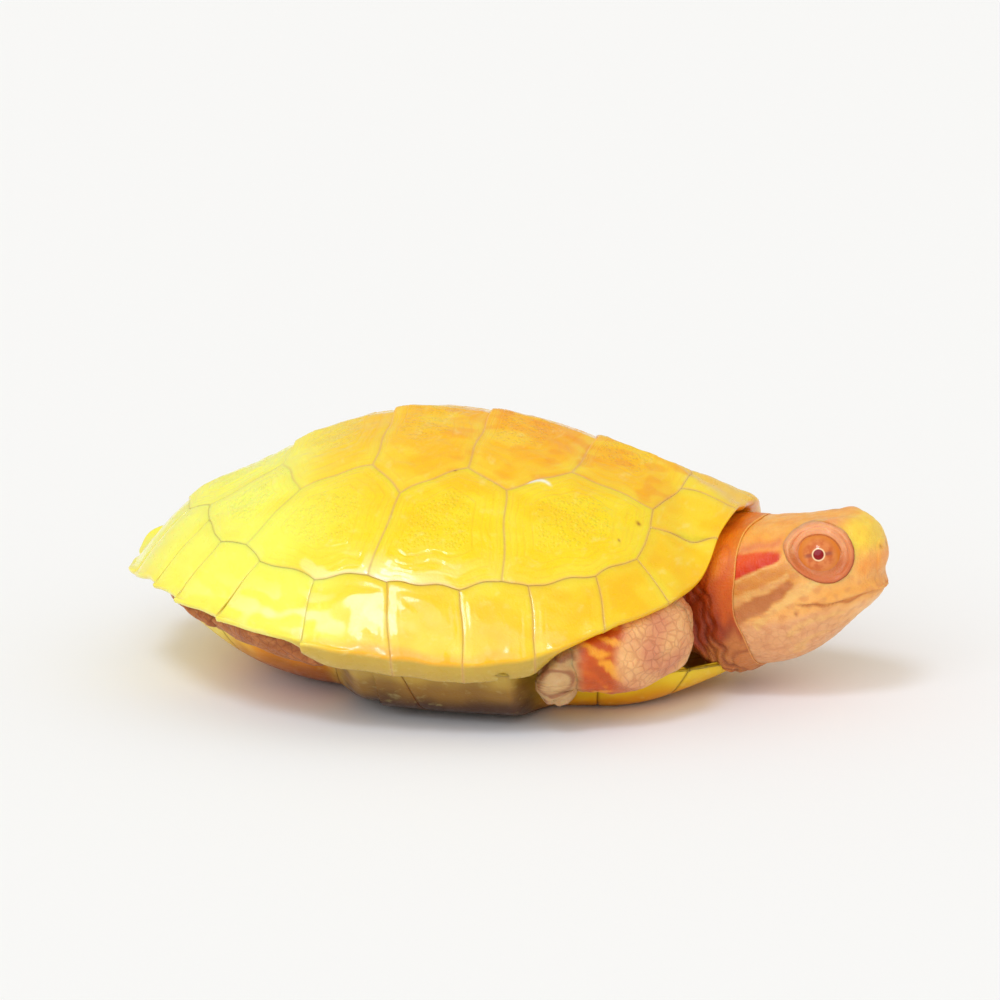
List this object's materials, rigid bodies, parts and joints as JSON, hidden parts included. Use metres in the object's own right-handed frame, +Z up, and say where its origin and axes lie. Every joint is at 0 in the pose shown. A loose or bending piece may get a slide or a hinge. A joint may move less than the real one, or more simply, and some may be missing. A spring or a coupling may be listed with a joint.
{
  "type": "albino red-eared slider turtle, life-size juvenile",
  "caption": "Still life-size young slider turtle with yellow shell, head out and turned to its right, legs folded into the shell, at rest on its plastron.",
  "frame": {"origin": "middle of the flat on which the plastron rests, on the midline", "axes": "+X along the shell to the head, +Y to the animal's left, +Z up"},
  "size_m": [0.0761, 0.052, 0.0268],
  "materials": {
    "shell_horn": "glossy translucent yellow horn",
    "keel_horn": "glossy translucent amber horn",
    "plastron_horn": "smooth dull yellow horn",
    "skin": "moist thin pink and orange skin with small scales",
    "eye": "wet glossy"
  },
  "bodies": {
    "root": {"costal_scute_left_1": "shell_horn", "costal_scute_left_2": "shell_horn", "costal_scute_left_3": "shell_horn", "costal_scute_left_4": "shell_horn", "costal_scute_right_1": "shell_horn", "costal_scute_right_2": "shell_horn", "costal_scute_right_3": "shell_horn", "costal_scute_right_4": "shell_horn", "eye_left": "eye", "eye_right": "eye", "foreleg_left": "skin", "foreleg_right": "skin", "head": "skin", "hindleg_left": "skin", "hindleg_right": "skin", "lower_jaw": "skin", "marginal_scute_left_1": "shell_horn", "marginal_scute_left_10": "shell_horn", "marginal_scute_left_11": "shell_horn", "marginal_scute_left_12": "shell_horn", "marginal_scute_left_2": "shell_horn", "marginal_scute_left_3": "shell_horn", "marginal_scute_left_4": "shell_horn", "marginal_scute_left_5": "shell_horn", "marginal_scute_left_6": "shell_horn", "marginal_scute_left_7": "shell_horn", "marginal_scute_left_8": "shell_horn", "marginal_scute_left_9": "shell_horn", "marginal_scute_right_1": "shell_horn", "marginal_scute_right_10": "shell_horn", "marginal_scute_right_11": "shell_horn", "marginal_scute_right_12": "shell_horn", "marginal_scute_right_2": "shell_horn", "marginal_scute_right_3": "shell_horn", "marginal_scute_right_4": "shell_horn", "marginal_scute_right_5": "shell_horn", "marginal_scute_right_6": "shell_horn", "marginal_scute_right_7": "shell_horn", "marginal_scute_right_8": "shell_horn", "marginal_scute_right_9": "shell_horn", "neck": "skin", "nuchal_scute": "shell_horn", "plastron_abdominal": "plastron_horn", "plastron_anal": "plastron_horn", "plastron_femoral": "plastron_horn", "plastron_gular": "plastron_horn", "plastron_humeral": "plastron_horn", "plastron_pectoral": "plastron_horn", "tail": "skin", "trunk": "skin", "vertebral_scute_1": "keel_horn", "vertebral_scute_2": "keel_horn", "vertebral_scute_3": "keel_horn", "vertebral_scute_4": "keel_horn", "vertebral_scute_5": "keel_horn"}
  },
  "joints": []
}
